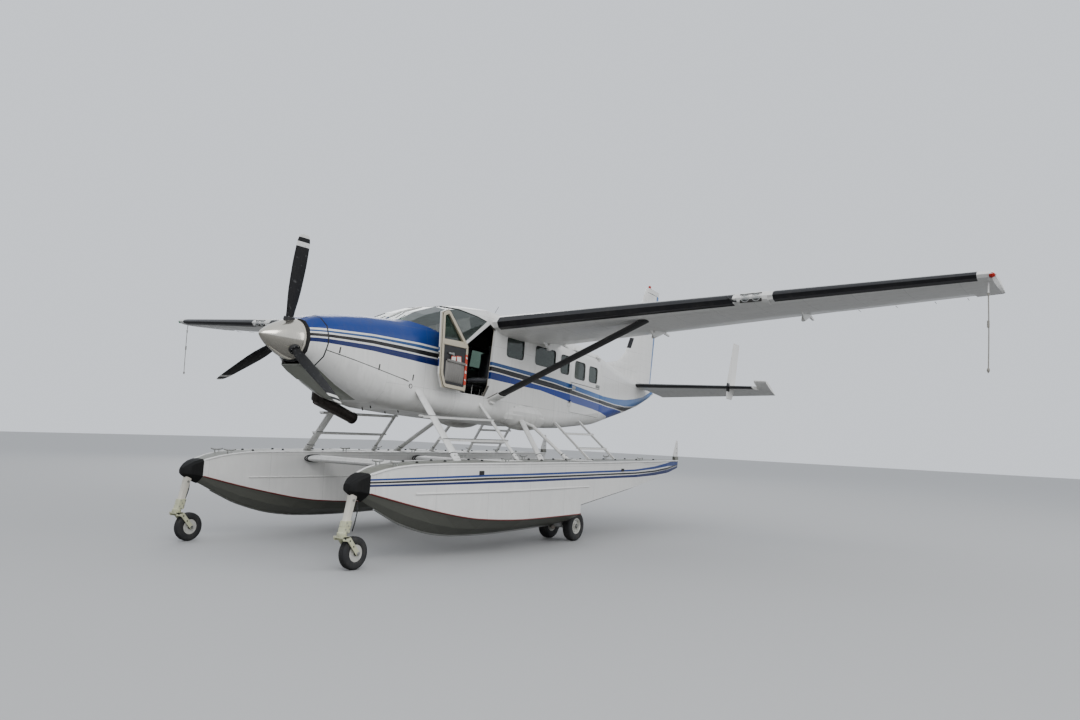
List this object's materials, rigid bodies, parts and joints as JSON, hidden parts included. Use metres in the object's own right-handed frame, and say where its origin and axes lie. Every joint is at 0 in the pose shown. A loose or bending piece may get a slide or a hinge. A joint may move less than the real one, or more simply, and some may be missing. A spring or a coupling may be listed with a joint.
{
  "type": "amphibious floatplane",
  "caption": "High-wing single-turboprop floatplane on amphibious floats, with wheels, cabin, doors, flaps, tail and propeller that move.",
  "frame": {"origin": "middle of the box at the ground under the wheels", "axes": "nose towards -X, tail towards +X, port wing towards -Y, up +Z; parked 3 degrees nose up"},
  "size_m": [11.4264, 15.88, 5.2227],
  "materials": {
    "white_paint": "gloss white paint over riveted sheet",
    "control_paint": "satin white paint on ribbed sheet",
    "float_paint": "white sides, grey deck and dark grey planing bottom",
    "striped_paint": "cream white paint with blue and black stripes",
    "tinted_glass": "green grey tinted acrylic",
    "polished_metal": "polished",
    "blade_black": "black composite with white and black tips",
    "engine_metal": "heat stained metal",
    "strut_paint": "satin white paint",
    "boot_rubber": "black rubber leading edge boot",
    "chromate_metal": "yellow green primer",
    "tyre_rubber": "worn black rubber",
    "wheel_paint": "cream white paint, chipped",
    "upholstery": "grey cloth and plastic",
    "rope_fibre": "dark laid rope"
  },
  "bodies": {
    "airframe": {"fuselage": "white_paint", "cabin_interior": "upholstery", "nose_cowl": "striped_paint", "engine": "engine_metal", "windshield": "tinted_glass", "stabilizer": "white_paint", "spreader_front": "strut_paint", "spreader_rear": "strut_paint", "wing_port": "white_paint", "wing_strut_port": "boot_rubber", "cabin_windows_port": "tinted_glass", "float_port": "float_paint", "nose_leg_port": "wheel_paint", "main_leg_port": "strut_paint", "float_strut_front_port": "strut_paint", "float_strut_rear_port": "strut_paint", "ladder_port": "strut_paint", "rope_port": "rope_fibre", "wing_starboard": "white_paint", "wing_strut_starboard": "boot_rubber", "cabin_windows_starboard": "tinted_glass", "float_starboard": "float_paint", "nose_leg_starboard": "wheel_paint", "main_leg_starboard": "strut_paint", "float_strut_front_starboard": "strut_paint", "float_strut_rear_starboard": "strut_paint", "ladder_starboard": "strut_paint", "rope_starboard": "rope_fibre"},
    "propeller": {"propeller": "blade_black", "spinner": "polished_metal"},
    "rudder": {"rudder": "control_paint"},
    "elevator": {"elevator": "control_paint"},
    "cargo_door_upper": {"cargo_door_upper": "white_paint", "cargo_door_glass": "tinted_glass"},
    "cargo_door_lower": {"cargo_door_lower": "white_paint"},
    "entry_door_upper": {"entry_door_upper": "white_paint", "entry_door_glass": "tinted_glass"},
    "entry_door_lower": {"entry_door_lower": "white_paint"},
    "crew_door_port": {"crew_door_port": "white_paint", "crew_door_glass_port": "tinted_glass"},
    "flap_port": {"flap_port": "control_paint"},
    "aileron_port": {"aileron_port": "control_paint"},
    "nose_fork_port": {"nose_fork_port": "chromate_metal"},
    "nose_wheel_port": {"nose_rim_port": "wheel_paint", "nose_tyre_port": "tyre_rubber"},
    "main_wheels_port": {"main_rims_port": "wheel_paint", "main_tyre_port_inner": "tyre_rubber", "main_tyre_port_outer": "tyre_rubber"},
    "water_rudder_port": {"water_rudder_port": "strut_paint"},
    "crew_door_starboard": {"crew_door_starboard": "white_paint", "crew_door_glass_starboard": "tinted_glass"},
    "flap_starboard": {"flap_starboard": "control_paint"},
    "aileron_starboard": {"aileron_starboard": "control_paint"},
    "nose_fork_starboard": {"nose_fork_starboard": "chromate_metal"},
    "nose_wheel_starboard": {"nose_rim_starboard": "wheel_paint", "nose_tyre_starboard": "tyre_rubber"},
    "main_wheels_starboard": {"main_rims_starboard": "wheel_paint", "main_tyre_starboard_inner": "tyre_rubber", "main_tyre_starboard_outer": "tyre_rubber"},
    "water_rudder_starboard": {"water_rudder_starboard": "strut_paint"}
  },
  "joints": [
    {"name": "propeller_spin", "type": "hinge", "parent": "airframe", "child": "propeller", "pos_m": [-5.27375, 0, 2.79697], "axis": [0.9986, 0, -0.0523], "continuous": true},
    {"name": "crew_door_port_swing", "type": "hinge", "parent": "airframe", "child": "crew_door_port", "pos_m": [-2.58944, -0.8373, 2.65629], "axis": [0.0523, 0, 0.9986], "range_deg": [0, 172]},
    {"name": "crew_door_starboard_swing", "type": "hinge", "parent": "airframe", "child": "crew_door_starboard", "pos_m": [-2.58944, 0.8373, 2.65629], "axis": [0.0523, 0, 0.9986], "range_deg": [0, 172]},
    {"name": "cargo_door_upper_swing", "type": "hinge", "parent": "airframe", "child": "cargo_door_upper", "pos_m": [0.61752, -0.81486, 3.24025], "axis": [-0.9952, -0.0825, 0.0522], "range_deg": [0, 95]},
    {"name": "cargo_door_lower_swing", "type": "hinge", "parent": "airframe", "child": "cargo_door_lower", "pos_m": [0.56024, -0.84235, 2.49123], "axis": [-0.0523, 0, -0.9986], "range_deg": [0, 120]},
    {"name": "entry_door_upper_swing", "type": "hinge", "parent": "airframe", "child": "entry_door_upper", "pos_m": [0.66745, 0.81073, 3.23764], "axis": [0.9952, -0.0825, -0.0522], "range_deg": [0, 95]},
    {"name": "entry_door_lower_swing", "type": "hinge", "parent": "airframe", "child": "entry_door_lower", "pos_m": [0.6069, 0.81073, 2.08222], "axis": [-0.9952, 0.0825, 0.0522], "range_deg": [0, 90]},
    {"name": "rudder_swing", "type": "hinge", "parent": "airframe", "child": "rudder", "pos_m": [4.60204, 0, 2.84017], "axis": [0.2158, 0, 0.9764], "range_deg": [-25, 25]},
    {"name": "elevator_swing", "type": "hinge", "parent": "airframe", "child": "elevator", "pos_m": [4.75973, 0, 2.79185], "axis": [0, 1, 0], "range_deg": [-45, 0]},
    {"name": "aileron_starboard_swing", "type": "hinge", "parent": "airframe", "child": "aileron_starboard", "pos_m": [-0.65255, 5.812, 3.62365], "axis": [-0.056, 0.9966, 0.0603], "range_deg": [-20, 20]},
    {"name": "flap_starboard_swing", "type": "hinge", "parent": "airframe", "child": "flap_starboard", "pos_m": [-0.46612, 0.88, 3.12122], "axis": [-0.0508, 0.9961, 0.0721], "range_deg": [0, 30]},
    {"name": "nose_fork_starboard_caster", "type": "hinge", "parent": "airframe", "child": "nose_fork_starboard", "pos_m": [-5.61815, 1.61, 0.4], "axis": [0, 0, 1], "range_deg": [-60, 60]},
    {"name": "nose_wheel_starboard_spin", "type": "hinge", "parent": "nose_fork_starboard", "child": "nose_wheel_starboard", "pos_m": [-5.41315, 1.61, 0.195], "axis": [0, 1, 0], "continuous": true},
    {"name": "main_wheels_starboard_spin", "type": "hinge", "parent": "airframe", "child": "main_wheels_starboard", "pos_m": [-0.83315, 1.61, 0.234], "axis": [0, 1, 0], "continuous": true},
    {"name": "water_rudder_starboard_swing", "type": "hinge", "parent": "airframe", "child": "water_rudder_starboard", "pos_m": [3.47185, 1.61, 1.3], "axis": [0, 1, 0], "range_deg": [0, 135]},
    {"name": "aileron_port_swing", "type": "hinge", "parent": "airframe", "child": "aileron_port", "pos_m": [-0.65255, -5.812, 3.62365], "axis": [0.056, 0.9966, -0.0603], "range_deg": [-20, 20]},
    {"name": "flap_port_swing", "type": "hinge", "parent": "airframe", "child": "flap_port", "pos_m": [-0.46612, -0.88, 3.12122], "axis": [0.0508, 0.9961, -0.0721], "range_deg": [0, 30]},
    {"name": "nose_fork_port_caster", "type": "hinge", "parent": "airframe", "child": "nose_fork_port", "pos_m": [-5.61815, -1.61, 0.4], "axis": [0, 0, 1], "range_deg": [-60, 60]},
    {"name": "nose_wheel_port_spin", "type": "hinge", "parent": "nose_fork_port", "child": "nose_wheel_port", "pos_m": [-5.41315, -1.61, 0.195], "axis": [0, 1, 0], "continuous": true},
    {"name": "main_wheels_port_spin", "type": "hinge", "parent": "airframe", "child": "main_wheels_port", "pos_m": [-0.83315, -1.61, 0.234], "axis": [0, 1, 0], "continuous": true},
    {"name": "water_rudder_port_swing", "type": "hinge", "parent": "airframe", "child": "water_rudder_port", "pos_m": [3.47185, -1.61, 1.3], "axis": [0, 1, 0], "range_deg": [0, 135]}
  ],
  "couplings": [
    {"joint": "aileron_port_swing", "follows": "aileron_starboard_swing", "ratio": -1},
    {"joint": "flap_port_swing", "follows": "flap_starboard_swing", "ratio": 1},
    {"joint": "water_rudder_port_swing", "follows": "water_rudder_starboard_swing", "ratio": 1}
  ]
}
